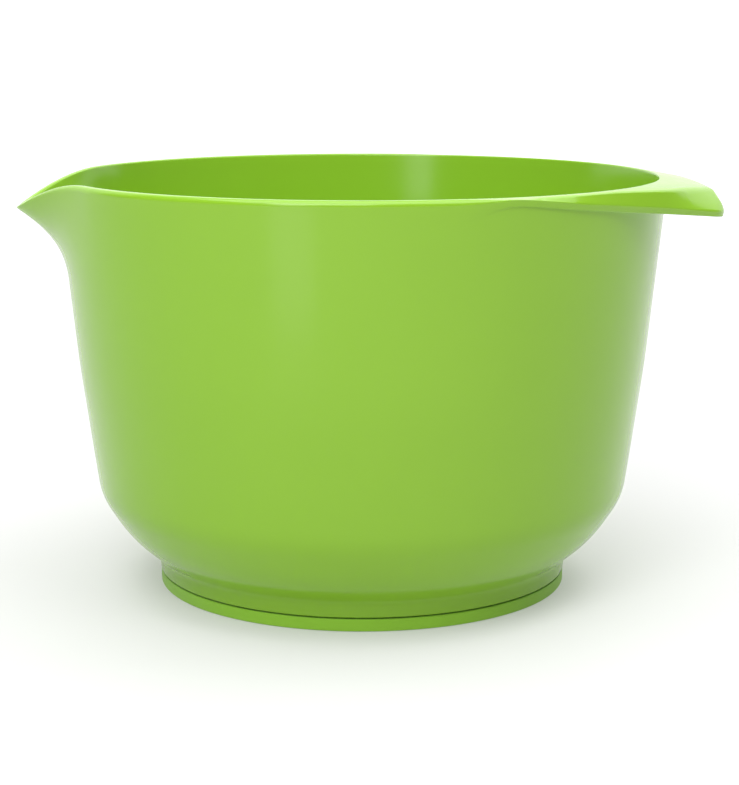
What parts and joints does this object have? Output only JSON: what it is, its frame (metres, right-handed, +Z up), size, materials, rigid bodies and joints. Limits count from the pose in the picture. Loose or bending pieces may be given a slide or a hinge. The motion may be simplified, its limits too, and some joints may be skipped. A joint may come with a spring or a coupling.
{
  "type": "mixing bowl",
  "caption": "Deep round mixing bowl with a pouring spout, a broad grip flange opposite it and a removable non-slip ring under its foot.",
  "frame": {"origin": "on the table, at the foot's centre: the middle of the bounding box's underside", "axes": "+Z up out of the bowl's mouth, +X towards the grip, -X towards the spout"},
  "size_m": [0.2785, 0.2452, 0.1669],
  "materials": {
    "bowl_plastic": "smooth hard moulded plastic, high gloss",
    "ring_rubber": "soft matte rubber in the bowl's colour"
  },
  "bodies": {
    "ring_body": {"non_slip_ring": "ring_rubber"},
    "bowl_body": {"bowl": "bowl_plastic"}
  },
  "joints": [
    {"name": "bowl_off_ring", "type": "slide", "parent": "ring_body", "child": "bowl_body", "axis": [0, 0, 1], "range_m": [0, 0.012]}
  ]
}
